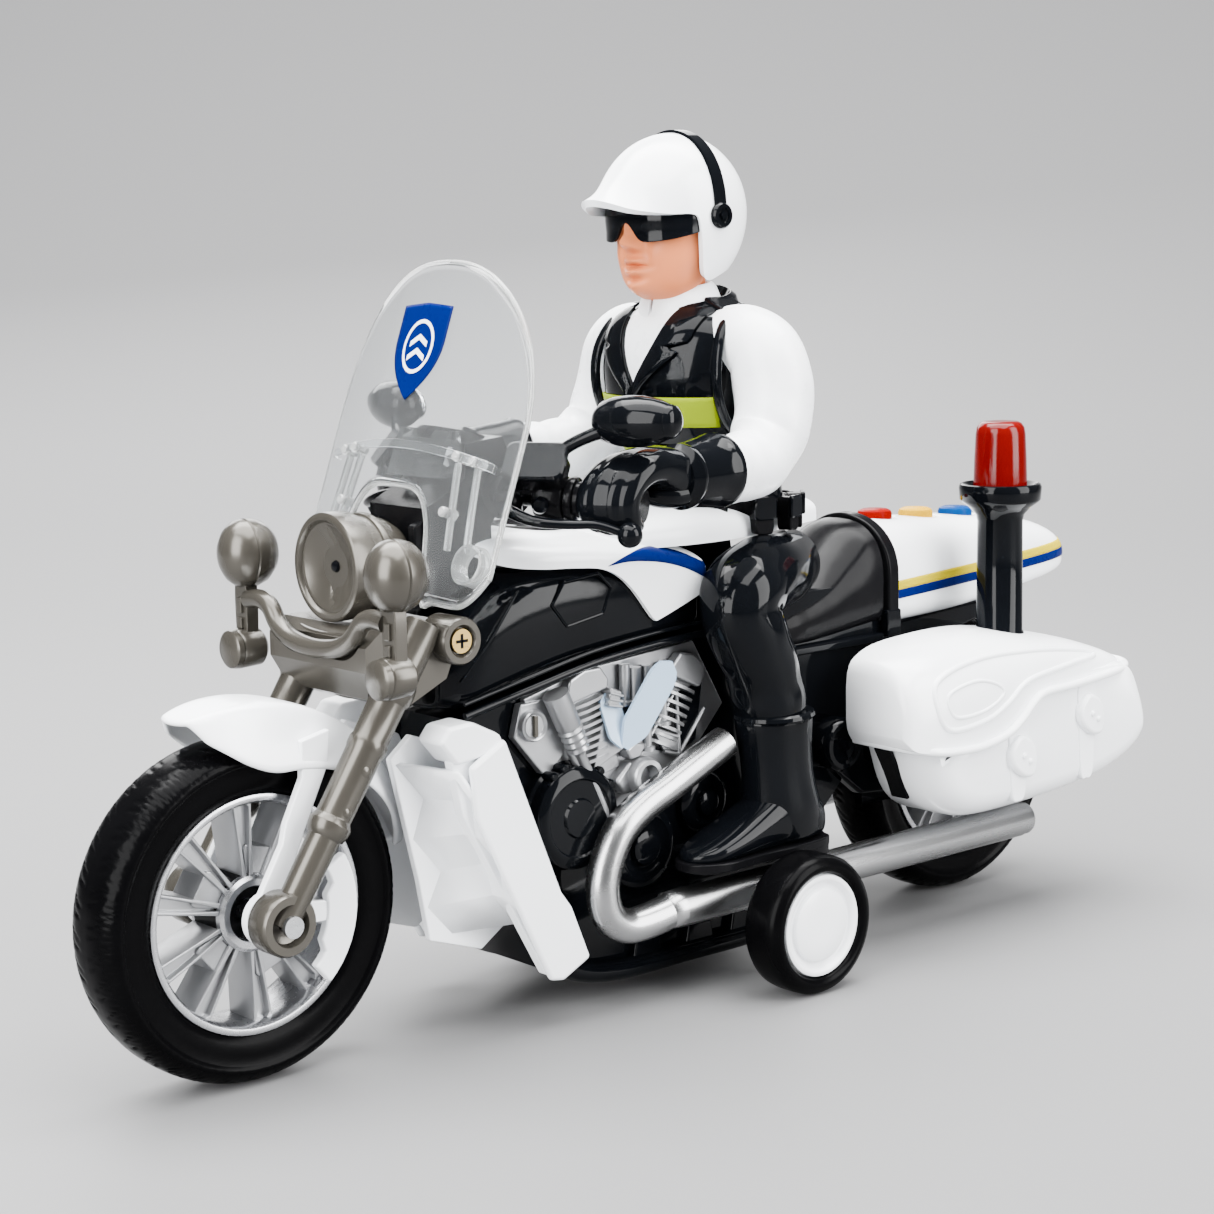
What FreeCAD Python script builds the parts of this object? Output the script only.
"""Push-and-go toy patrol motorcycle with a rider, as a parametric FreeCAD document.

Row frame, millimetres: +X forward, +Y the rider's left, +Z up, origin on the floor under the middle.
"""
import FreeCAD, Part
import math
import os

import Sketcher
from FreeCAD import Placement, Rotation, Vector

doc = FreeCAD.newDocument("toy_motorcycle")

# ---------------------------------------------------------------- driving dimensions
DIMENSIONS = {
    "wheel_radius": 35.0,
    "tyre_half_width": 8.2,
    "shoulder_radius": 30.5,
    "rim_radius": 24.6,
    "rim_ring": 2.2,
    "hub_radius": 6.5,
    "hub_half_length": 9.0,
    "spoke_count": 10,
    "front_axle_x": 109.0,
    "wheelbase": 212.0,
    "axle_radius": 1.25,
    "running_gap": 0.06,
    "held_gap": 0.02,
    "side_wheel_x": -13.2,
    "side_wheel_radius": 15.7,
    "side_wheel_inner": 34.5,
    "side_wheel_outer": 45.5,
    "side_disc_radius": 11.8,
    "fork_rake": 33.5,
    "fork_leg_y": 16.0,
    "fork_leg_radius": 4.2,
    "headlight_x": 85.3,
    "headlight_z": 101.5,
    "headlight_radius": 11.3,
    "fog_lamp_x": 86.7,
    "fog_lamp_y": 26.2,
    "fog_lamp_z": 102.4,
    "fog_lamp_radius": 6.6,
    "frame_half_width": 13.0,
    "frame_wall": 1.5,
    "gear_module": 0.5,
    "gear_teeth": 30,
    "pinion_teeth": 10,
    "spindle_radius": 0.8,
    "flywheel_radius": 8.6,
    "gearbox_wall": 1.2,
    "pipe_radius": 3.2,
    "muffler_radius": 4.25,
    "bag_inner": 19.5,
    "bag_outer": 40.5,
    "shell_wall": 1.4,
    "beacon_x": -95.0,
    "beacon_y": 26.0,
    "pole_radius": 5.5,
    "flange_radius": 10.0,
    "lens_radius": 6.2,
    "tail_half_width": 13.5,
    "button_radius": 4.7,
    "button_travel": 1.2,
    "board_top": 88.8,
    "screen_radius": 95.0,
    "screen_rake": 22.0,
    "screen_wall": 1.4,
    "mirror_y": 41.0,
    "mirror_z": 130.0,
    "bar_radius": 3.0,
    "neck_x": -14.5,
    "neck_radius": 5.0,
    "skull_radius": 12.6,
    "helmet_length": 21.0,
    "helmet_width": 16.5,
    "helmet_height": 18.2,
}

sheet = doc.addObject("Spreadsheet::Sheet", "Dims")
for row, (alias, number) in enumerate(DIMENSIONS.items(), start=1):
    sheet.set("A%d" % row, alias)
    sheet.set("B%d" % row, str(number))
    sheet.setAlias("B%d" % row, alias)
doc.recompute()


class Size:
    """A length that carries its spreadsheet formula along with its present value."""

    def __init__(self, text, number):
        self.text = text
        self.number = float(number)

    def joined(self, sign, other, number):
        text = other.text if isinstance(other, Size) else "%.6f" % other
        return Size("(%s %s %s)" % (self.text, sign, text), number)

    def __float__(self):
        return self.number

    def __add__(self, other):
        return self.joined("+", other, self.number + float(other))

    def __sub__(self, other):
        return self.joined("-", other, self.number - float(other))

    def __mul__(self, other):
        return self.joined("*", other, self.number * float(other))

    def __truediv__(self, other):
        return self.joined("/", other, self.number / float(other))

    def __radd__(self, other):
        return Size("%.6f" % other, other) + self

    def __rsub__(self, other):
        return Size("%.6f" % other, other) - self

    def __rmul__(self, other):
        return self * other

    def __neg__(self):
        return self * -1


class Sheet:
    """Gives each alias of the spreadsheet as a Size."""

    def __getattr__(self, alias):
        return Size("Dims." + alias, sheet.get(alias))


d = Sheet()
rear_axle_x = d.front_axle_x - d.wheelbase


# ---------------------------------------------------------------- modelling helpers
def bind(obj, path, size):
    """Ties one property of obj to the spreadsheet when size has a formula."""
    if isinstance(size, Size):
        obj.setExpression(path, size.text)


def place(obj, x=0, y=0, z=0, rotation=None):
    """Puts obj at a point, and keeps the spreadsheet's formula for each coordinate that has one."""
    obj.Placement = Placement(Vector(float(x), float(y), float(z)), rotation or Rotation())
    for letter, size in (("x", x), ("y", y), ("z", z)):
        bind(obj, "Placement.Base." + letter, size)
    return obj


def add(kind, name, **sizes):
    """A Part primitive whose sizes are bound to the spreadsheet."""
    obj = doc.addObject(kind, name)
    for prop, size in sizes.items():
        setattr(obj, prop, float(size))
        bind(obj, prop, size)
    return obj


ALONG = {
    "X": Rotation(Vector(0, 1, 0), 90),
    "Y": Rotation(Vector(1, 0, 0), -90),
    "Z": Rotation(),
}


def rod(name, radius, length, axis, x=0, y=0, z=0):
    """A cylinder along a row axis, starting at the point."""
    return place(add("Part::Cylinder", name, Radius=radius, Height=length), x, y, z, ALONG[axis])


def block(name, lengths, x=0, y=0, z=0, rotation=None):
    """A box from its lowest corner."""
    box = add("Part::Box", name, Length=lengths[0], Width=lengths[1], Height=lengths[2])
    return place(box, x, y, z, rotation)


def ellipsoid(name, radii, x, y, z, rotation=None):
    """An ellipsoid with its three radii along X, Y and Z."""
    obj = add("Part::Ellipsoid", name, Radius2=radii[0], Radius3=radii[1], Radius1=radii[2])
    return place(obj, x, y, z, rotation)


def ball(name, radius, x, y, z):
    """A sphere with its poles on the left and right, clear of anything that joins it from below."""
    return place(add("Part::Sphere", name, Radius=radius), x, y, z, ALONG["Y"])


def fuse(name, pieces):
    obj = doc.addObject("Part::MultiFuse", name)
    obj.Shapes = pieces
    return obj


def cut(name, base, *tools):
    """base with every tool taken away."""
    for number, tool in enumerate(tools):
        last = number == len(tools) - 1
        obj = doc.addObject("Part::Cut", name if last else name + "_step")
        obj.Base = base
        obj.Tool = tool
        base = obj
    return base


def common(name, first, second):
    obj = doc.addObject("Part::MultiCommon", name)
    obj.Shapes = [first, second]
    return obj


def group(name, pieces):
    """Several separate solids that share one node."""
    obj = doc.addObject("Part::Compound", name)
    obj.Links = pieces
    return obj


def mirrored(name, source):
    """The right-hand copy of a left-hand piece."""
    obj = doc.addObject("Part::Mirroring", name)
    obj.Source = source
    obj.Normal = Vector(0, 1, 0)
    return obj


class Through:
    """A point that the arc between two corners of an outline passes through."""

    def __init__(self, across, up):
        self.across = across
        self.up = up


def fix_point(sketch, geometry, corner, across, up):
    """Holds one end of a sketch edge at its coordinates."""
    for kind, size, axis in (("DistanceX", across, -2), ("DistanceY", up, -1)):
        if not isinstance(size, Size) and abs(size) < 1e-9:
            sketch.addConstraint(Sketcher.Constraint("PointOnObject", geometry, corner, axis))
            continue
        made = sketch.addConstraint(Sketcher.Constraint(kind, -1, 1, geometry, corner, float(size)))
        if isinstance(size, Size):
            sketch.setExpression("Constraints[%d]" % made, size.text)


def draw_outline(sketch, outline):
    """A closed outline of straight edges, with arcs where a Through point stands between corners."""
    corners = [p for p in outline if not isinstance(p, Through)]
    edges = []
    number = 0
    for index, item in enumerate(outline):
        if isinstance(item, Through):
            continue
        start = Vector(float(item[0]), float(item[1]), 0)
        nxt = corners[(number + 1) % len(corners)]
        end = Vector(float(nxt[0]), float(nxt[1]), 0)
        number += 1
        after = outline[(index + 1) % len(outline)]
        if isinstance(after, Through):
            middle = Vector(float(after.across), float(after.up), 0)
            anticlockwise = (middle - start).cross(end - middle).z > 0
            curve = Part.Arc(start, middle, end) if anticlockwise else Part.Arc(end, middle, start)
            made = sketch.addGeometry(curve, False)
            edges.append((made, 1, 2) if anticlockwise else (made, 2, 1))
            sketch.addConstraint(Sketcher.Constraint("Radius", made, sketch.Geometry[made].Radius))
        else:
            edges.append((sketch.addGeometry(Part.LineSegment(start, end), False), 1, 2))
    for number, (edge, first, last) in enumerate(edges):
        following = edges[(number + 1) % len(edges)]
        sketch.addConstraint(Sketcher.Constraint("Coincident", edge, last, following[0], following[1]))
        fix_point(sketch, edge, first, *corners[number])


PLANES = {"XY": "XY_Plane", "XZ": "XZ_Plane", "YZ": "YZ_Plane"}


def new_sketch(body, name, plane, offset, outline):
    """A fully held sketch on one of the body's own origin planes, offset along its normal."""
    sketch = body.newObject("Sketcher::SketchObject", name)
    origin = [f for f in body.Origin.OriginFeatures if f.Role == PLANES[plane]][0]
    sketch.AttachmentSupport = [(origin, "")]
    sketch.MapMode = "FlatFace"
    sketch.AttachmentOffset = Placement(Vector(0, 0, float(offset)), Rotation())
    bind(sketch, "AttachmentOffset.Base.z", offset)
    draw_outline(sketch, outline)
    return sketch


def new_body(name):
    return doc.addObject("PartDesign::Body", name)


def extrude(body, kind, name, plane, outline, low, high):
    """A Pad or Pocket between two heights along the row axis that the plane faces."""
    outward = plane != "XZ"
    sketch = new_sketch(body, name + "_sketch", plane, low if outward else -1.0 * high, outline)
    feature = body.newObject("PartDesign::" + kind, name)
    feature.Profile = sketch
    feature.Length = float(high) - float(low)
    bind(feature, "Length", high - low)
    if kind == "Pocket":
        feature.Reversed = True
    body.Tip = feature
    return feature


def prism(name, plane, outline, low, high):
    """A body made of one pad between two heights."""
    body = new_body(name)
    extrude(body, "Pad", name + "_pad", plane, outline, low, high)
    return body


def turned(name, axis, outline, angle=360.0):
    """A body turned about X or Y from (along, radius) points."""
    body = new_body(name)
    flat = []
    for item in outline:
        along, radius = (item.across, item.up) if isinstance(item, Through) else item
        pair = (along, radius) if axis == "X" else (radius, along)
        flat.append(Through(*pair) if isinstance(item, Through) else pair)
    sketch = new_sketch(body, name + "_sketch", "XY", 0.0, flat)
    feature = body.newObject("PartDesign::Revolution", name + "_turn")
    feature.Profile = sketch
    feature.ReferenceAxis = (sketch, ["H_Axis" if axis == "X" else "V_Axis"])
    feature.Angle = angle
    body.Tip = feature
    return body


def polar(body, feature, name, count):
    """Repeats a feature round the body's Y axis."""
    pattern = body.newObject("PartDesign::PolarPattern", name)
    pattern.Originals = [feature]
    axis = [f for f in body.Origin.OriginFeatures if f.Role == "Y_Axis"][0]
    pattern.Axis = (axis, [""])
    pattern.Angle = 360.0
    pattern.Occurrences = int(float(count))
    bind(pattern, "Occurrences", count)
    body.Tip = pattern
    return pattern


def path_wire(name, points, radii):
    """Straight runs joined by tangent arcs, as one wire; each inner point has its own bend radius."""
    nodes = [Vector(*p) for p in points]
    edges = []
    start = nodes[0]
    for number in range(1, len(nodes) - 1):
        before = (nodes[number - 1] - nodes[number]).normalize()
        after = (nodes[number + 1] - nodes[number]).normalize()
        half = before.getAngle(after) / 2.0
        reach = radii[number - 1] / math.tan(half)
        first = nodes[number] + before * reach
        last = nodes[number] + after * reach
        middle = (before + after).normalize()
        centre = nodes[number] + middle * (radii[number - 1] / math.sin(half))
        edges.append(Part.LineSegment(start, first).toShape())
        edges.append(Part.Arc(first, centre - middle * radii[number - 1], last).toShape())
        start = last
    edges.append(Part.LineSegment(start, nodes[-1]).toShape())
    wire = doc.addObject("Part::Feature", name + "_path")
    wire.Shape = Part.Wire(edges)
    return wire


def tube(name, radius, points, radii):
    """A round bar swept along a path."""
    wire = path_wire(name, points, radii)
    heading = (Vector(*points[1]) - Vector(*points[0])).normalize()
    ring = add("Part::Circle", name + "_section", Radius=radius)
    ring.Placement = Placement(Vector(*points[0]), Rotation(Vector(0, 0, 1), heading))
    sweep = doc.addObject("Part::Sweep", name)
    sweep.Sections = [ring]
    sweep.Spine = (wire, ["Edge%d" % (i + 1) for i in range(len(wire.Shape.Edges))])
    sweep.Solid = True
    sweep.Frenet = False
    return sweep


def loft(name, sections):
    """A smooth solid through rings, each (centre, half length along X, half width along Y, facing)."""
    rings = []
    for number, (centre, half_x, half_y, facing) in enumerate(sections):
        kind = "Part::Circle" if half_x == half_y else "Part::Ellipse"
        ring = doc.addObject(kind, "%s_ring%d" % (name, number))
        turn = Rotation(Vector(0, 0, 1), Vector(*facing))
        if half_x == half_y:
            ring.Radius = half_x
        else:
            ring.MajorRadius = max(half_x, half_y)
            ring.MinorRadius = min(half_x, half_y)
            if half_y > half_x:
                turn = turn.multiply(Rotation(Vector(0, 0, 1), 90))
        ring.Placement = Placement(Vector(*centre), turn)
        rings.append(ring)
    solid = doc.addObject("Part::Loft", name)
    solid.Sections = rings
    solid.Solid = True
    return solid


def limb(name, stations):
    """A round limb through (x, y, z, radius) stations, each ring facing along the limb."""
    sections = []
    for number, (x, y, z, radius) in enumerate(stations):
        before = stations[max(number - 1, 0)]
        after = stations[min(number + 1, len(stations) - 1)]
        facing = tuple(after[axis] - before[axis] for axis in range(3))
        sections.append(((x, y, z), radius, radius, facing))
    return loft(name, sections)


def inset(outline, distance):
    """The outline moved inwards by a wall thickness; it runs anticlockwise and has straight edges."""
    inner = []
    count = len(outline)
    for number in range(count):
        previous, here, following = (Vector(*outline[(number + step) % count], 0) for step in (-1, 0, 1))
        first = (here - previous).normalize()
        second = (following - here).normalize()
        bisector = Vector(-first.y - second.y, first.x + second.x, 0).normalize()
        reach = distance / bisector.dot(Vector(-first.y, first.x, 0))
        corner = here + bisector * reach
        inner.append((corner.x, corner.y))
    return inner


def across_rod(name, radius, x, z, low, high):
    """A cylinder across the machine from one Y to another, for a hole or a pin."""
    return rod(name, radius, high - low, "Y", x, low, z)


# ---------------------------------------------------------------- wheels
def tyre(name, x):
    half = d.tyre_half_width
    outline = [
        (-1.0 * half + 1.0, d.rim_radius),
        (half - 1.0, d.rim_radius),
        (half, d.shoulder_radius),
        Through(0.0, d.wheel_radius),
        (-1.0 * half, d.shoulder_radius),
    ]
    return place(turned(name, "Y", outline), x, 0, d.wheel_radius)


def rim(name, x):
    """A rim ring and hub joined by ten blades on each face."""
    half = d.tyre_half_width - 1.4
    inner = d.rim_radius - d.rim_ring
    rim_body = turned(name, "Y", [(-1.0 * half, inner), (half, inner), (half, d.rim_radius - 0.05),
                                  (-1.0 * half, d.rim_radius - 0.05)])
    hub_sketch = new_sketch(rim_body, name + "_hub_sketch", "XY", 0.0, [
        (d.axle_radius + d.running_gap, -1.0 * d.hub_half_length),
        (d.hub_radius, -1.0 * d.hub_half_length),
        (d.hub_radius, d.hub_half_length),
        (d.axle_radius + d.running_gap, d.hub_half_length),
    ])
    hub = rim_body.newObject("PartDesign::Revolution", name + "_hub")
    hub.Profile = hub_sketch
    hub.ReferenceAxis = (hub_sketch, ["V_Axis"])
    hub.Angle = 360.0
    rim_body.Tip = hub
    foot = d.hub_radius - 0.6
    reach = inner + 0.5
    blade = [(foot, -0.9), (reach, -1.9), (reach, 1.9), (foot, 0.9)]
    for side, low, high in (("near", half - 3.2, half - 1.2), ("far", 1.2 - half, 3.2 - half)):
        spoke = extrude(rim_body, "Pad", name + "_blade_" + side, "XZ", blade, low, high)
        polar(rim_body, spoke, name + "_blades_" + side, d.spoke_count)
    return place(rim_body, x, 0, d.wheel_radius)


def axle(name, x, half_length):
    """A steel pin with a head on each end."""
    shank = rod(name + "_shank", d.axle_radius, 2 * half_length, "Y", x, -half_length, d.wheel_radius)
    heads = [rod(name + "_head%d" % n, 2.2, 1.0, "Y", x, y, d.wheel_radius)
             for n, y in enumerate((-half_length - 0.5, half_length - 0.5))]
    return fuse(name, [shank] + heads)


front_tyre = tyre("front_tyre", d.front_axle_x)
rear_tyre = tyre("rear_tyre", rear_axle_x)
front_rim = rim("front_rim", d.front_axle_x)
rear_rim = rim("rear_rim", rear_axle_x)
wheel_axles = group("wheel_axles", [axle("front_axle", d.front_axle_x, 19.5),
                                    axle("rear_axle", rear_axle_x, 13.5)])

# ---------------------------------------------------------------- drive train
side_x = d.side_wheel_x
side_z = d.side_wheel_radius
drive_shaft = rod("drive_shaft", d.axle_radius, d.side_wheel_outer * 2 - 3.0, "Y", side_x,
                  1.5 - d.side_wheel_outer, side_z)


def side_wheel(kind, outline):
    left = place(turned(kind + "_left", "Y", outline), side_x, 0, side_z)
    return group(kind + "s", [left, mirrored(kind + "_right", left)])


inner_y = d.side_wheel_inner
outer_y = d.side_wheel_outer
side_tyres = side_wheel("side_tyre", [
    (inner_y, d.side_disc_radius + 0.02), (outer_y, d.side_disc_radius + 0.02), (outer_y, side_z - 2.0),
    (outer_y - 2.0, side_z), (inner_y + 2.0, side_z), (inner_y, side_z - 2.0)])
side_hubs = side_wheel("side_hub", [
    (inner_y, d.axle_radius + d.held_gap), (outer_y - 1.2, d.axle_radius + d.held_gap),
    (outer_y - 1.2, 8.0), (outer_y - 1.8, 8.6), (outer_y - 0.6, 9.4), (outer_y - 0.6, d.side_disc_radius),
    (inner_y, d.side_disc_radius)])

TOOTH_HALF_AT_ROOT = 0.27
TOOTH_HALF_AT_TIP = 0.11
MESH_DISTANCE = d.gear_module * (d.gear_teeth + d.pinion_teeth) / 2
FIRST_MESH_ANGLE = 60.0
SECOND_MESH_ANGLE = 30.0


def beside(x, z, angle):
    """The centre of a gear that meshes at an angle above +X."""
    turn = math.radians(angle)
    return x + MESH_DISTANCE * math.cos(turn), z + MESH_DISTANCE * math.sin(turn)


compound_x, compound_z = beside(side_x, side_z, FIRST_MESH_ANGLE)
flywheel_x, flywheel_z = beside(compound_x, compound_z, SECOND_MESH_ANGLE)


def gear(name, teeth, centre, low, high, tooth_angle):
    """A straight-sided spur gear with one tooth pointing at tooth_angle above +X."""
    module = float(d.gear_module)
    count = int(float(teeth))
    pitch = 2 * math.pi / count
    root = module * (count / 2 - 1.2)
    tip = module * (count / 2 + 0.85)
    corners = []
    for tooth in range(count):
        middle = math.radians(tooth_angle) + tooth * pitch
        for radius, share in ((root, -TOOTH_HALF_AT_ROOT), (tip, -TOOTH_HALF_AT_TIP),
                              (tip, TOOTH_HALF_AT_TIP), (root, TOOTH_HALF_AT_ROOT)):
            angle = middle + share * pitch
            corners.append(Vector(radius * math.cos(angle), low, radius * math.sin(angle)))
    face = Part.Face(Part.makePolygon(corners + corners[:1]))
    obj = doc.addObject("Part::Feature", name)
    obj.Shape = face.extrude(Vector(0, high - low, 0))
    obj.Placement = Placement(Vector(float(centre[0]), 0, float(centre[1])), Rotation())
    return obj


first_level = (-8.0, -5.0)
second_level = (-4.6, -1.6)
half_pinion_pitch = 180.0 / float(d.pinion_teeth)
axle_gear = cut("axle_gear", gear("axle_gear_teeth", d.gear_teeth, (side_x, side_z), *first_level,
                                  FIRST_MESH_ANGLE),
                across_rod("axle_gear_bore", d.axle_radius + d.held_gap, side_x, side_z, -10.0, -3.0))
compound_gear = fuse("compound_gear", [
    gear("compound_pinion", d.pinion_teeth, (compound_x, compound_z), first_level[0], second_level[0],
         FIRST_MESH_ANGLE + 180.0 + half_pinion_pitch),
    gear("compound_wheel", d.gear_teeth, (compound_x, compound_z), *second_level, SECOND_MESH_ANGLE),
    rod("compound_spindle", d.spindle_radius, 21.8, "Y", compound_x, -10.9, compound_z)])
flywheel = fuse("flywheel", [
    gear("flywheel_pinion", d.pinion_teeth, (flywheel_x, flywheel_z), second_level[0], 2.0,
         SECOND_MESH_ANGLE + 180.0 + half_pinion_pitch),
    rod("flywheel_disc", d.flywheel_radius, 6.5, "Y", flywheel_x, 1.5, flywheel_z),
    rod("flywheel_spindle", d.spindle_radius, 21.8, "Y", flywheel_x, -10.9, flywheel_z)])

frame_inner = d.frame_half_width - d.frame_wall
GEARBOX = [(-23.5, 5.9), (-3.0, 5.9), (11.0, 20.0), (11.0, 40.0), (-10.0, 40.0), (-23.5, 26.5)]
gearbox_body = new_body("gearbox_cover")
extrude(gearbox_body, "Pad", "gearbox_block", "XZ", GEARBOX, 0.0, frame_inner)
extrude(gearbox_body, "Pocket", "gearbox_room", "XZ", inset(GEARBOX, float(d.gearbox_wall)), 0.0,
        frame_inner - d.gearbox_wall)
gearbox_shell_left = cut(
    "gearbox_shell_left", gearbox_body,
    across_rod("shaft_bearing", d.axle_radius + d.running_gap, side_x, side_z, 5.0, 20.0),
    across_rod("compound_bearing", d.spindle_radius + d.running_gap, compound_x, compound_z, 5.0, 20.0),
    across_rod("flywheel_bearing", d.spindle_radius + d.running_gap, flywheel_x, flywheel_z, 5.0, 20.0))
gearbox_shell_right = mirrored("gearbox_shell_right", gearbox_shell_left)

# ---------------------------------------------------------------- frame halves and what they hold
FRAME = [(-66.5, 76.0), (-66.0, 60.0), (-62.0, 46.0), (-45.0, 30.0), (-30.0, 5.0), (-26.0, 4.0), (20.0, 4.0),
         (38.0, 9.0), (47.0, 22.0), (58.0, 56.0), (62.0, 68.0), (29.0, 75.8), (2.0, 78.0), (-38.0, 84.0),
         (-66.0, 84.0)]
REAR_ARM = [(-58.0, 52.0), (-60.0, 30.0), (-100.0, 29.0), (-108.5, 31.5), (-108.5, 38.5), (-100.0, 42.0)]
POSTS = [(15.3, 50.0), (-45.0, 70.0), (48.0, 62.0), (-42.0, 44.0)]
CELL_X = 28.5
CELL_Z = 14.8
CELL_RADIUS = 5.8
door_cut = prism("door_cut", "XZ", [(21.0, 0.0), (36.0, 0.0), (36.0, 12.0), (21.0, 8.5)], -8.4, 8.4)
frame_body = new_body("frame_side")
extrude(frame_body, "Pad", "frame_block", "XZ", FRAME, 0.0, d.frame_half_width)
extrude(frame_body, "Pocket", "frame_room", "XZ", inset(FRAME, float(d.frame_wall)), 0.0, frame_inner)
extrude(frame_body, "Pad", "frame_arm", "XZ", REAR_ARM, 10.6, d.frame_half_width)
frame_posts = [rod("frame_post%d" % n, 2.9, frame_inner, "Y", x, 0, z) for n, (x, z) in enumerate(POSTS)]
bag_posts = [rod("bag_post%d" % n, 2.6, d.bag_inner - d.frame_half_width, "Y", x, d.frame_half_width, z)
             for n, (x, z) in enumerate(((-66.0, 42.0), (-96.0, 36.0)))]
shield_posts = [rod("shield_post%d" % n, 2.4, 5.0, "Y", x, d.frame_half_width, z)
                for n, (x, z) in enumerate(((42.5, 20.0), (57.5, 62.0)))]
engine_drum = rod("engine_drum", 10.5, 5.0, "Y", 34.0, d.frame_half_width, 44.0)
peg = rod("foot_peg", 2.6, 14.0, "Y", -14.0, d.frame_half_width, 33.0)
frame_solid = fuse("frame_solid", [frame_body] + frame_posts + bag_posts + shield_posts + [engine_drum, peg])
frame_half_left = cut(
    "frame_half_left", frame_solid, door_cut,
    rod("shaft_clearance", 2.0, 12.0, "Y", side_x, 8.0, side_z),
    across_rod("rear_axle_hole", d.axle_radius + d.held_gap, rear_axle_x, d.wheel_radius, 8.0, 13.05),
    across_rod("rear_head_hole", 2.25, rear_axle_x, d.wheel_radius, 12.95, 20.0),
    *[across_rod("post_hole%d" % n, 1.02, x, z, -1.0, 9.0) for n, (x, z) in enumerate(POSTS)])
frame_screw_hole = [across_rod("screw_well%d" % n, 1.3, x, z, -20.0, -1.0) for n, (x, z) in enumerate(POSTS)]
screw_heads = [across_rod("screw_well_head%d" % n, 2.5, x, z, -20.0, -11.0) for n, (x, z) in enumerate(POSTS)]
frame_half_right = cut("frame_half_right", mirrored("frame_mirror", frame_half_left), *frame_screw_hole,
                       *screw_heads)
battery_cells = group("battery_cells", [
    rod("cell%d" % n, CELL_RADIUS, 5.3, "Y", CELL_X, y, CELL_Z) for n, y in enumerate((-8.1, -2.65, 2.8))])
battery_cover = prism("battery_cover", "XZ", [(21.2, 4.33), (35.8, 8.39), (35.8, 9.79), (21.2, 5.73)], -8.2,
                      8.2)

ENGINE = [(46.0, 70.8), (29.0, 75.0), (-3.0, 77.4), (-12.0, 62.0), (8.0, 40.0), (22.0, 38.0), (40.0, 55.5)]
engine_plate = cut(
    "engine_left",
    prism("engine_plate", "XZ", ENGINE[::-1], d.frame_half_width, 17.5),
    rod("engine_drum_room", 10.7, 8.0, "Y", 34.0, 12.0, 44.0),
    across_rod("engine_screw_hole", 1.6, 15.3, 50.0, 12.0, 20.0))
engine_inserts = group("engine_inserts", [engine_plate, mirrored("engine_right", engine_plate)])

PIPE = [(-4.0, 21.3, 54.0), (27.0, 22.3, 41.5), (31.0, 23.2, 20.3), (14.0, 25.0, 21.6)]
MUFFLER_END = (-106.0, 29.0, 23.2)
pipe = tube("exhaust_pipe", d.pipe_radius, PIPE, [9.0, 8.0])
muffler_run = Vector(*MUFFLER_END) - Vector(*PIPE[-1])
muffler = add("Part::Cylinder", "muffler", Radius=d.muffler_radius, Height=muffler_run.Length)
muffler.Placement = Placement(Vector(*PIPE[-1]), Rotation(Vector(0, 0, 1), muffler_run))
muffler_mouth = add("Part::Cylinder", "muffler_mouth", Radius=d.muffler_radius - 1.0, Height=12.0)
mouth_start = Vector(*MUFFLER_END) - muffler_run.normalize() * 10.0
muffler_mouth.Placement = Placement(mouth_start, Rotation(Vector(0, 0, 1), muffler_run))
exhaust_left = cut("exhaust_left", fuse("exhaust_solid", [pipe, muffler]), muffler_mouth)
exhausts = group("exhausts", [exhaust_left, mirrored("exhaust_right", exhaust_left)])

SHIELD = [(59.0, 64.5), (44.0, 30.0), (36.5, 14.0), (45.0, 11.0), (56.0, 16.5), (72.5, 54.0), (74.5, 68.0)]
shield_left = prism("shield_left", "XZ", SHIELD, 18.0, 24.0)
leg_shields = group("leg_shields", [shield_left, mirrored("shield_right", shield_left)])

# ---------------------------------------------------------------- fork, lamps and mudguard
rake = math.radians(float(d.fork_rake))
FORK_LINE = Vector(-math.sin(rake), 0, math.cos(rake))
fork_foot = Vector(float(d.front_axle_x), float(d.fork_leg_y), float(d.wheel_radius))


def fork_tube(name, radius, start, end):
    """A stretch of the leg between two distances up from the axle."""
    stretch = add("Part::Cylinder", name, Radius=radius, Height=end - start)
    stretch.Placement = Placement(fork_foot + FORK_LINE * start, Rotation(Vector(0, 0, 1), FORK_LINE))
    return stretch


fork_boss = rod("fork_boss", 6.5, 6.5, "Y", d.front_axle_x, 12.5, d.wheel_radius)
fork_left = cut(
    "fork_leg_left",
    fuse("fork_solid", [fork_boss, fork_tube("fork_slider", d.fork_leg_radius - 0.8, 0.0, 20.0),
                        fork_tube("fork_collar", d.fork_leg_radius + 0.3, 18.0, 23.0),
                        fork_tube("fork_sleeve", d.fork_leg_radius, 22.0, 66.0)]),
    across_rod("fork_axle_hole", d.axle_radius + d.held_gap, d.front_axle_x, d.wheel_radius, 10.0, 22.0),
    across_rod("fork_head_hole", 2.3, d.front_axle_x, d.wheel_radius, 18.9, 22.0))
fork_leg_right = mirrored("fork_leg_right", fork_left)

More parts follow.
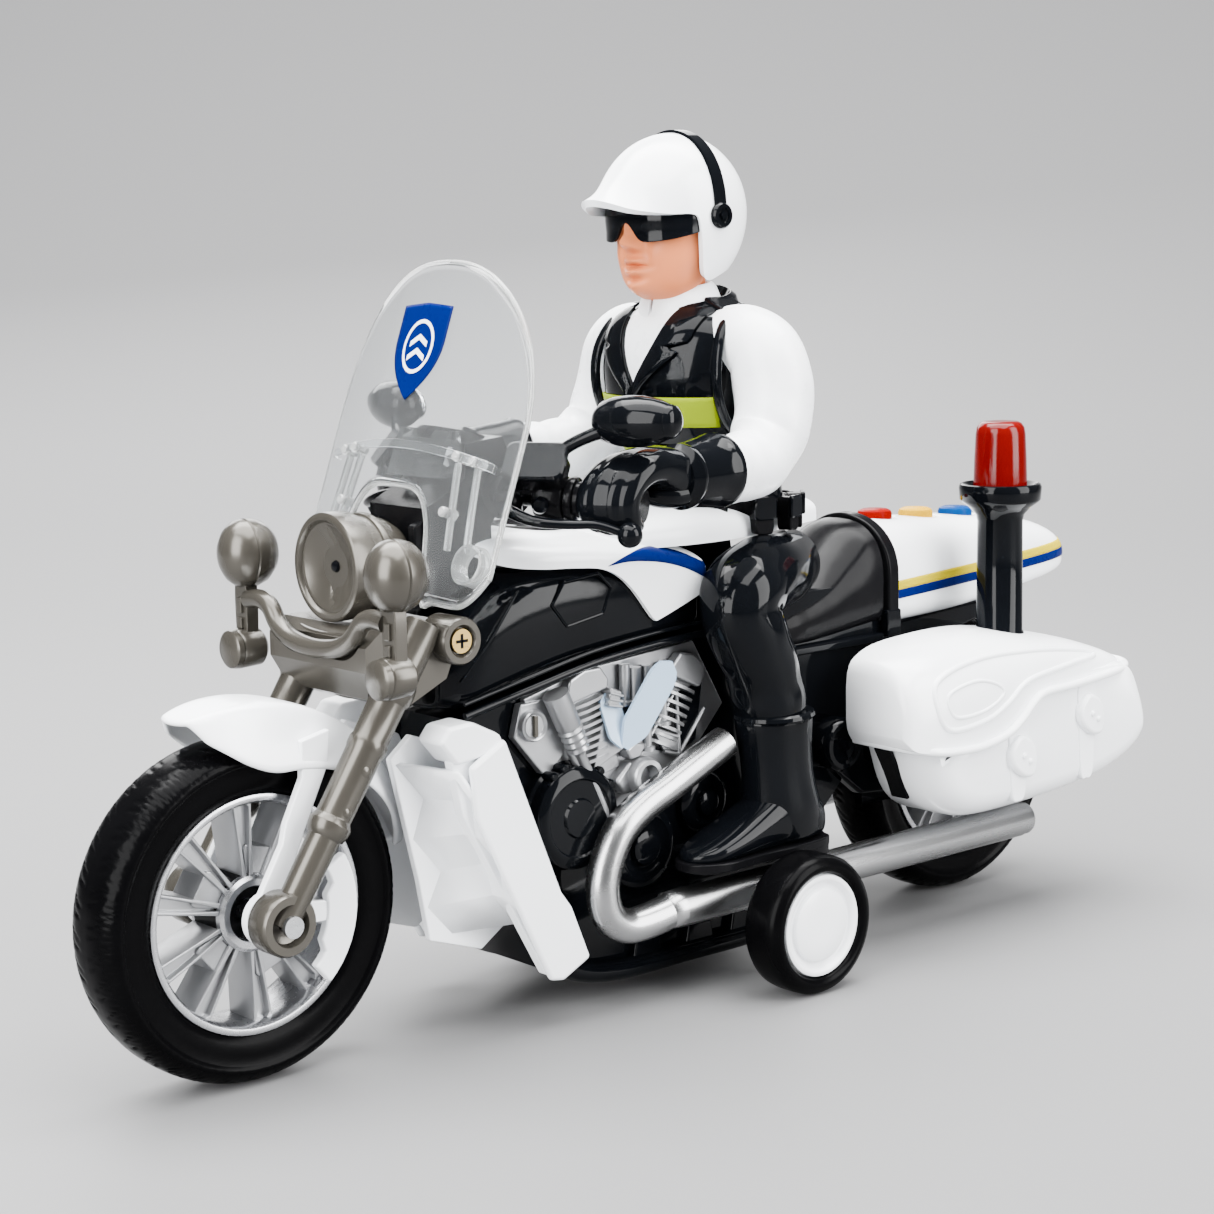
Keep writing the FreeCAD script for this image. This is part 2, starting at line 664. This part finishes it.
BRACKET = [(88.0, 24.4, 93.0), (88.0, 17.5, 93.0), (88.0, 10.5, 86.0), (88.0, -10.5, 86.0),
           (88.0, -17.5, 93.0),
           (88.0, -24.4, 93.0)]
lamp_bracket = tube("lamp_bracket", 2.3, BRACKET, [4.0, 6.0, 6.0, 4.0])
YOKE = [(84.0, 75.5), (88.0, 82.0), (88.0, 87.0), (84.0, 90.0), (66.0, 90.0), (64.2, 87.0), (68.0, 78.5),
        (79.0, 73.5)]
LUG_X = 66.8
LUG_Z = 86.5
yoke_solid = fuse("yoke_solid", [prism("yoke_block", "XZ", YOKE, -17.0, 17.0)] + [
    rod("yoke_lug%d" % n, 3.5, 3.0, "Y", LUG_X, y, LUG_Z) for n, y in enumerate((16.5, -19.5))])
fork_yoke = cut("fork_yoke", yoke_solid, fork_left, fork_leg_right, lamp_bracket,
                across_rod("lug_hole", 1.3, LUG_X, LUG_Z, -30.0, 30.0))

face_x = d.headlight_x
lamp_r = d.headlight_radius
headlight_shell = place(turned("headlight_shell", "X", [
    (face_x - 18.0, 0.0), (face_x - 17.0, 6.5), (face_x - 13.0, lamp_r - 1.4), (face_x - 5.0, lamp_r - 0.3),
    (face_x, lamp_r), (face_x, lamp_r - 1.3), (face_x - 5.0, lamp_r - 1.7), (face_x - 12.4, lamp_r - 2.8),
    (face_x - 15.6, 5.5), (face_x - 16.4, 0.0)][::-1]), 0, 0, d.headlight_z)
headlight_dish = place(turned("headlight_dish", "X", [
    (face_x - 6.0, 0.0), (face_x - 5.0, lamp_r - 5.0), (face_x - 1.2, lamp_r - 1.5), (face_x - 2.6,
            lamp_r - 1.6),
    (face_x - 7.0, lamp_r - 5.6), (face_x - 8.0, 0.0)][::-1]), 0, 0, d.headlight_z)
fog_y = d.fog_lamp_y
fog_left = fuse("fog_lamp_left", [
    ellipsoid("fog_pod", (d.fog_lamp_radius, d.fog_lamp_radius, d.fog_lamp_radius + 0.4),
              d.fog_lamp_x, fog_y, d.fog_lamp_z),
    rod("fog_drum", 4.3, 9.0, "X", 83.5, fog_y, 82.3),
    block("fog_post", (3.2, 3.6, 16.0), 86.4, fog_y - 1.8, 83.0)])
fog_lamps = group("fog_lamps", [fog_left, mirrored("fog_lamp_right", fog_left)])


def sector(name, reach, first_angle, last_angle):
    """A wedge about the front axle, to keep a stretch of a ring."""
    middle = (first_angle + last_angle) / 2
    corners = [(d.front_axle_x, d.wheel_radius)]
    for angle in (first_angle, (first_angle + middle) / 2, middle, (middle + last_angle) / 2, last_angle):
        turn = math.radians(angle)
        corners.append((d.front_axle_x + reach * math.cos(turn), d.wheel_radius + reach * math.sin(turn)))
    return prism(name, "XZ", corners, -30.0, 30.0)


guard_r = d.wheel_radius + 4.0
guard_ring = cut("guard_ring",
                 rod("guard_outer", guard_r + 1.6, 23.0, "Y", d.front_axle_x, -11.5, d.wheel_radius),
                 rod("guard_inner", guard_r, 24.0, "Y", d.front_axle_x, -12.0, d.wheel_radius))
guard_arch = common("guard_arch", guard_ring, sector("guard_sector", 60.0, 67.0, 171.0))
stay_line = [(d.front_axle_x + dx, d.wheel_radius + dz) for dx, dz in
             ((-3.0, -2.0), (3.0, 2.0), (-18.0, 35.8), (-25.0, 31.6))]
guard_stays = [prism("guard_stay%d" % n, "XZ", stay_line, low, high)
               for n, (low, high) in enumerate(((9.6, 11.4), (-11.4, -9.6)))]
guard_eyes = [rod("guard_eye%d" % n, 5.0, 1.8, "Y", d.front_axle_x, y, d.wheel_radius)
              for n, y in enumerate((9.6, -11.4))]
front_mudguard = cut("front_mudguard", fuse("guard_solid", [guard_arch] + guard_stays + guard_eyes),
                     across_rod("guard_hole", d.axle_radius + 0.2, d.front_axle_x, d.wheel_radius, -20.0,
                                20.0))

# ---------------------------------------------------------------- screen, pod and controls
screen_tilt = math.radians(float(d.screen_rake))
screen_up = Vector(-math.sin(screen_tilt), 0, math.cos(screen_tilt))
screen_out = Vector(math.cos(screen_tilt), 0, math.sin(screen_tilt))
SCREEN_FOOT = Vector(73.6, 0, 95.5)


def screen_cylinder(name, radius):
    cylinder = add("Part::Cylinder", name, Radius=radius, Height=160.0)
    start = SCREEN_FOOT - screen_out * float(d.screen_radius) - screen_up * 45.0
    cylinder.Placement = Placement(start, Rotation(Vector(0, 0, 1), screen_up))
    return cylinder


screen_sheet = cut("screen_sheet", screen_cylinder("screen_face", d.screen_radius),
                   screen_cylinder("screen_back", d.screen_radius - d.screen_wall))
SCREEN = [(31.0, 97.0), (31.5, 131.0), Through(21.5, 154.0), (0.0, 162.5), Through(-21.5, 154.0),
          (-31.5, 131.0),
          (-31.0, 97.0), (-27.0, 92.5), (-17.0, 92.5), (-14.0, 112.0), Through(0.0, 117.0), (14.0, 112.0),
          (17.0, 92.5), (27.0, 92.5)]
windshield = common("windshield", screen_sheet, prism("screen_outline", "YZ", SCREEN, 20.0, 110.0))
windshield_bracket = prism("windshield_bracket", "XZ", [(56.2, 118.2), (62.0, 118.2), (58.2, 127.6),
                                                        (56.2, 127.6)],
                           -9.0, 9.0)
BAR = [(31.0, -47.0, 112.0), (47.0, -19.0, 114.5), (47.0, 19.0, 114.5), (31.0, 47.0, 112.0)]
handlebar = tube("handlebar", d.bar_radius, BAR, [14.0, 14.0])
POD = [(49.6, 98.0), (58.0, 95.0), (66.0, 92.0), (66.4, 112.5), (56.0, 117.8), (56.0, 125.0), (46.0, 126.0),
       (42.0, 116.0), (49.6, 108.0)]
instrument_pod = cut("instrument_pod", prism("pod_block", "XZ", POD, -10.0, 10.0), handlebar, headlight_shell)
lever = fuse("lever_left", [
    tube("lever_arm", 1.3, [(50.5, 17.0, 112.5), (50.0, 28.0, 111.5), (41.0, 43.0, 107.6)], [12.0]),
    ellipsoid("lever_ball", (2.5, 2.5, 2.5), 41.0, 43.0, 107.6)])
lever_free = cut("lever_left_free", lever, handlebar)
control_levers = group("control_levers", [lever_free, mirrored("lever_right", lever_free)])
mirror_turn = Rotation(Vector(0, 0, 1), 16)
mirror_pod = ellipsoid("mirror_pod", (4.6, 10.9, 4.8), 36.5, d.mirror_y, d.mirror_z, mirror_turn)
mirror_stalk = tube("mirror_stalk", 1.5, [(44.0, 23.5, 114.0), (42.0, 27.0, 124.0), (37.0, 36.0, 129.0)],
                    [9.0])
mirror_left = cut("mirror_left", fuse("mirror_solid", [mirror_pod, mirror_stalk]), handlebar)
mirrors = group("mirrors", [mirror_left, mirrored("mirror_right", mirror_left)])

# ---------------------------------------------------------------- tank, seat and tail
TANK = [(-3.0, 79.2), (29.0, 77.0), (62.0, 69.3), (66.0, 71.0), (62.0, 86.0), (46.0, 97.0), (20.0, 100.0),
        (-3.0, 97.0)]
tank_body = new_body("tank_body")
extrude(tank_body, "Pad", "tank_block", "XZ", TANK, -18.0, 18.0)
TANK_ROOM = [(-1.5, 78.0), (29.0, 70.0), (60.0, 60.0), (61.5, 80.0), (45.0, 95.3), (20.0, 98.4), (-1.5, 95.6)]
extrude(tank_body, "Pocket", "tank_room", "XZ", TANK_ROOM, -16.4, 16.4)
COVER = [(-46.5, 98.0), (-4.0, 97.2), (20.0, 100.2), (45.8, 97.3), (48.5, 99.0), (46.5, 104.9), (30.0, 104.9),
         (0.0, 102.6), (-46.5, 102.6)]
WING = [(-5.0, 92.0), (13.0, 84.0), (24.0, 97.0), (24.0, 102.0), (-3.0, 101.0)]
tank_cover = fuse("tank_cover", [
    prism("cover_top", "XZ", COVER, -13.0, 13.0),
    prism("cover_band", "XZ", [(-3.0, 97.3), (20.0, 100.2), (24.0, 99.8), (24.0, 102.0), (-3.0, 101.0)],
          -19.2, 19.2),
    prism("cover_wing_left", "XZ", WING, 18.1, 19.2), prism("cover_wing_right", "XZ", WING, -19.2, -18.1)])
fuel_cap = rod("fuel_cap", 7.5, 1.4, "Z", 37.0, 0, 104.95)

SADDLE = [(-14.0, 84.1), (14.0, 84.1), (14.0, 87.0), Through(0.0, 97.0), (-14.0, 87.0)]
HOOP = [(-15.5, 76.5), (15.5, 76.5), (15.5, 86.5), Through(0.0, 101.0), (-15.5, 86.5)]
seat = prism("seat", "YZ", SADDLE, -66.4, -38.5)
backrest_hoop = prism("backrest_hoop", "YZ", HOOP, -70.6, -66.6)

TAIL = [(-144.0, 80.0), (-140.0, 75.5), (-110.0, 72.0), (-70.7, 72.0), (-70.7, 97.5), (-118.0, 94.5),
        (-137.0, 89.5)]
ROOF_SLOPE = (97.5 - 94.5) / (118.0 - 70.7)
tail_half = d.tail_half_width
wall = d.shell_wall
TAIL_ROOM = [(-141.5, 80.0), (-139.0, 65.0), (-110.0, 60.0), (-72.2, 60.0), (-72.2, 96.0), (-118.0, 93.1),
             (-135.5, 88.4)]
tail_body = new_body("tail_shell")
extrude(tail_body, "Pad", "tail_block", "XZ", TAIL, -1.0 * tail_half, tail_half)
extrude(tail_body, "Pocket", "tail_room", "XZ", TAIL_ROOM, wall - tail_half, tail_half - wall)
BUTTONS = [("button_red", -78.5), ("button_yellow", -93.5), ("button_blue", -108.5)]
button_holes = [rod(name + "_hole", d.button_radius + 0.3, 30.0, "Z", x, 0, 90.0) for name, x in BUTTONS]
tail_box = cut("tail_box", tail_body, *button_holes)


def button(name, x):
    """A cap that stands proud of the roof, a retaining flange under it and a stem over its switch."""
    roof = 97.5 - ROOF_SLOPE * (-70.7 - x)
    flange_top = roof - 2.6
    cap = rod(name + "_cap", d.button_radius, roof + 1.7 - flange_top, "Z", x, 0, flange_top)
    flange = rod(name + "_flange", d.button_radius + 1.2, 1.0, "Z", x, 0, flange_top - 1.0)
    stem_foot = d.board_top + 1.2 + d.button_travel + 0.3
    stem = rod(name + "_stem", 1.8, flange_top - stem_foot, "Z", x, 0, stem_foot)
    return fuse(name, [cap, flange, stem])


buttons = [button(name, x) for name, x in BUTTONS]
board_plate = block("board_plate", (46.0, 2 * (tail_half - wall), 1.6), -119.0, wall - tail_half,
                    d.board_top - 1.6)
switches = [rod("switch%d" % n, 2.2, 1.2, "Z", x, 0, d.board_top) for n, (name, x) in enumerate(BUTTONS)]
circuit_board = fuse("circuit_board", [board_plate] + switches)
speaker = rod("speaker", 9.0, 4.5, "Z", -90.0, 0, d.board_top - 6.1)

# ---------------------------------------------------------------- saddlebags and beacon
BAG = [(-53.5, 47.6), (-58.0, 36.0), (-67.0, 29.6), (-76.0, 27.8), (-118.0, 30.5), (-134.0, 35.5),
       (-139.0, 42.0),
       (-137.0, 50.0), (-127.0, 57.4), (-96.0, 54.5), (-82.0, 49.5), (-64.0, 46.8)]
LID = [(-50.5, 48.2), (-46.5, 60.0), (-49.5, 67.0), (-58.0, 70.3), (-80.0, 71.5), (-99.0, 70.0),
       (-121.0, 63.5),
       (-133.0, 58.6), (-127.0, 57.9), (-96.0, 55.0), (-82.0, 50.0), (-64.0, 47.3)]


def bag_shell(name, outline):
    """A moulded shell that is open on the side facing the wheel."""
    shell = new_body(name)
    anticlockwise = outline[::-1] if name.startswith("bag") else outline
    extrude(shell, "Pad", name + "_block", "XZ", anticlockwise, d.bag_inner, d.bag_outer)
    extrude(shell, "Pocket", name + "_room", "XZ", inset(anticlockwise, float(wall)), d.bag_inner,
            d.bag_outer - wall)
    return shell


saddlebag_left = bag_shell("bag_left", BAG)
lid_left = bag_shell("lid_left", LID)
saddlebag_right = mirrored("saddlebag_right", saddlebag_left)
saddlebag_lids = group("saddlebag_lids", [lid_left, mirrored("lid_right", lid_left)])
pole_solid = fuse("pole_solid", [
    rod("pole", d.pole_radius, 36.0, "Z", d.beacon_x, d.beacon_y, 66.0),
    rod("pole_flange", d.flange_radius, 4.5, "Z", d.beacon_x, d.beacon_y, 101.5)])
beacon_pole = cut("beacon_pole", pole_solid, prism("lid_block", "XZ", LID, 15.0, d.bag_outer),
                  rod("pole_bore", 3.4, 60.0, "Z", d.beacon_x, d.beacon_y, 60.0))
beacon_lens = cut("beacon_lens", rod("lens_outer", d.lens_radius, 15.0, "Z", d.beacon_x, d.beacon_y, 106.0),
                  rod("lens_room", d.lens_radius - 1.0, 13.8, "Z", d.beacon_x, d.beacon_y, 106.0))

# ---------------------------------------------------------------- rider
UP = (0, 0, 1)
torso = loft("torso", [((-27.0, 0, 103.0), 11.0, 15.5, UP), ((-25.0, 0, 115.0), 10.0, 14.5, UP),
                       ((-20.0, 0, 137.0), 12.0, 18.0, UP), ((-17.5, 0, 147.0), 9.0, 17.0, UP),
                       ((-15.5, 0, 151.0), 7.0, 8.5, UP)])
thigh_and_shin = limb("leg_left", [(-32.0, 12.0, 104.0, 9.0), (-18.0, 20.0, 101.0, 10.0),
                                   (-6.0, 25.0, 91.0, 9.5),
                                   (-14.0, 25.5, 76.0, 8.3), (-17.5, 25.5, 58.0, 7.8)])
clear_of_bike = block("clear_of_bike", (130.0, 38.8, 62.8), -75.0, -19.4, 40.0)
leg_left = cut("leg_left_free", thigh_and_shin, clear_of_bike)
neck_socket = rod("neck_socket", d.neck_radius + d.running_gap, 20.0, "Z", d.neck_x, 0, 143.7)
rider_body = cut("rider_body", fuse("rider_solid", [torso, leg_left, mirrored("leg_right", leg_left)]),
                 neck_socket)
boot_shaft = limb("boot_shaft", [(-17.9, 25.5, 56.0, 7.7), (-19.0, 25.5, 48.0, 7.4),
                                 (-20.0, 25.5, 38.0, 8.2)])
foot = limb("boot_foot", [(-30.0, 25.5, 35.0, 5.5), (-18.0, 25.5, 37.0, 7.6), (-2.0, 26.0, 35.0, 5.8),
                          (8.5, 26.5, 33.5, 3.2)])
boot_solid = fuse("boot_solid", [boot_shaft, foot])
boot_left = cut("boot_left", boot_solid, rider_body, peg,
                block("sole_plane", (60.0, 30.0, 10.0), -40.0, 10.0, 18.0),
                block("boot_inner", (60.0, 19.4, 50.0), -40.0, 0.0, 20.0))
rider_boots = group("rider_boots", [boot_left, mirrored("boot_right", boot_left)])
arm = limb("arm", [(-17.0, 17.0, 144.0, 8.0), (-20.0, 25.0, 137.0, 9.8), (-21.5, 30.0, 126.0, 8.8),
                   (-15.0, 33.5, 118.5, 7.8), (-3.0, 35.5, 117.0, 7.3), (6.0, 36.5, 117.5, 6.6)])
arm_left = cut("arm_left", arm, rider_body)
rider_arms = group("rider_arms", [arm_left, mirrored("arm_right", arm_left)])
glove = limb("glove", [(6.0, 36.5, 117.5, 7.2), (20.0, 37.0, 117.0, 5.6), (32.0, 37.5, 116.0, 6.6),
                       (43.0, 38.0, 115.0, 5.0)])
glove_left = cut("glove_left", glove, handlebar, lever, arm)
rider_gloves = group("rider_gloves", [glove_left, mirrored("glove_right", glove_left)])

head_x = d.neck_x + 5.0
HEAD_Z = 165.0
HELMET_Z = 172.0
rider_head = fuse("rider_head", [ball("skull", d.skull_radius, head_x, 0, HEAD_Z),
                                 rod("neck", d.neck_radius, 14.0, "Z", d.neck_x, 0, 144.0)])


def helmet_form(name, extra):
    radii = (d.helmet_length + extra, d.helmet_width + extra, d.helmet_height + extra)
    return ellipsoid(name, radii, d.neck_x + 1.5, 0, HELMET_Z)


rider_helmet = cut(
    "rider_helmet",
    fuse("helmet_solid", [
        helmet_form("helmet_dome", 0.0),
        prism("helmet_peak", "XZ", [(0.0, 174.5), (14.6, 174.6), (14.6, 176.2), (2.0, 182.0)], -10.0, 10.0)]),
    block("helmet_mouth", (40.0, 60.0, 20.0), -40.0, -30.0, 137.4),
    block("face_opening", (40.0, 60.0, 20.0), -8.0, -30.0, 154.4),
    rider_head)
ear_cups = [rod("ear_cup%d" % n, 2.8, 3.2, "Y", d.neck_x + 0.9, y, 171.3) for n,
            y in enumerate((15.0, -18.2))]
band_slice = common("band_slice", cut("band_shell", helmet_form("band_outer", 0.6),
                                      helmet_form("band_inner", 0.05)),
                    block("band_block", (4.0, 60.0, 30.0), -15.5, -30.0, 170.0))
rider_headset = cut("rider_headset", fuse("headset_solid", [band_slice] + ear_cups),
                    helmet_form("headset_seat", 0.05))
glasses_shell = cut("glasses_shell", ball("glasses_outer", d.skull_radius + 1.1, head_x, 0, HEAD_Z),
                    ball("glasses_inner", d.skull_radius + 0.05, head_x, 0, HEAD_Z))
rider_glasses = cut("rider_glasses", common("glasses_slice", glasses_shell,
                                            block("glasses_block", (30.0, 60.0, 6.5), -9.0, -30.0, 165.3)),
                    rider_helmet)

# ---------------------------------------------------------------- screws
frame_screws = []
for number, (x, z) in enumerate(POSTS):
    frame_screws.append(fuse("frame_screw%d" % number, [
        across_rod("screw_shank%d" % number, 1.0, x, z, -11.0, 6.0),
        across_rod("screw_head%d" % number, 2.3, x, z, -12.4, -11.0)]))
lug_screws = []
for number, side in enumerate((1, -1)):
    shank = sorted((side * 14.0, side * 19.5))
    head = sorted((side * 19.5, side * 20.9))
    lug_screws.append(fuse("lug_screw%d" % number, [
        across_rod("lug_shank%d" % number, 1.25, LUG_X, LUG_Z, *shank),
        across_rod("lug_head%d" % number, 2.5, LUG_X, LUG_Z, *head)]))
screws = group("screws", frame_screws + lug_screws)

# ---------------------------------------------------------------- nodes
NODES = {
    "frame_half_left": frame_half_left, "frame_half_right": frame_half_right, "tank_body": tank_body,
    "tank_cover": tank_cover, "fuel_cap": fuel_cap, "engine_inserts": engine_inserts, "exhausts": exhausts,
    "leg_shields": leg_shields, "gearbox_shell_left": gearbox_shell_left,
    "gearbox_shell_right": gearbox_shell_right, "wheel_axles": wheel_axles, "fork_leg_left": fork_left,
    "fork_leg_right": fork_leg_right, "fork_yoke": fork_yoke, "lamp_bracket": lamp_bracket,
    "front_mudguard": front_mudguard, "headlight_shell": headlight_shell, "headlight_dish": headlight_dish,
    "fog_lamps": fog_lamps, "windshield": windshield, "windshield_bracket": windshield_bracket,
    "instrument_pod": instrument_pod, "handlebar": handlebar, "control_levers": control_levers,
    "mirrors": mirrors, "seat": seat, "backrest_hoop": backrest_hoop, "tail_box": tail_box,
    "saddlebag_left": saddlebag_left, "saddlebag_right": saddlebag_right, "saddlebag_lids": saddlebag_lids,
    "beacon_pole": beacon_pole, "beacon_lens": beacon_lens, "circuit_board": circuit_board,
    "speaker": speaker, "battery_cells": battery_cells, "battery_cover": battery_cover, "screws": screws,
    "rider_body": rider_body, "rider_boots": rider_boots, "rider_arms": rider_arms,
    "rider_gloves": rider_gloves, "front_tyre": front_tyre, "front_rim": front_rim, "rear_tyre": rear_tyre,
    "rear_rim": rear_rim, "side_tyres": side_tyres, "side_hubs": side_hubs, "drive_shaft": drive_shaft,
    "axle_gear": axle_gear, "compound_gear": compound_gear, "flywheel": flywheel,
    "button_red": buttons[0], "button_yellow": buttons[1], "button_blue": buttons[2],
    "rider_head": rider_head, "rider_helmet": rider_helmet, "rider_headset": rider_headset,
    "rider_glasses": rider_glasses,
}
doc.recompute()
failed = [obj.Name for obj in doc.Objects if "Invalid" in obj.State or "Error" in obj.State]
if failed:
    raise RuntimeError("these failed: " + ", ".join(failed))
os.makedirs("parts", exist_ok=True)
for node, obj in NODES.items():
    obj.Label = node
    if obj.Shape.isNull() or not obj.Shape.isValid():
        raise RuntimeError(node + " has no valid shape")
for node, obj in NODES.items():
    obj.Shape.exportStep("parts/%s.step" % node)
    box = obj.Shape.BoundBox
    print("%-20s solids %2d  x %7.1f %7.1f  y %6.1f %6.1f  z %6.1f %6.1f  volume %9.1f"
          % (node, len(obj.Shape.Solids), box.XMin, box.XMax, box.YMin, box.YMax, box.ZMin, box.ZMax,
             obj.Shape.Volume))
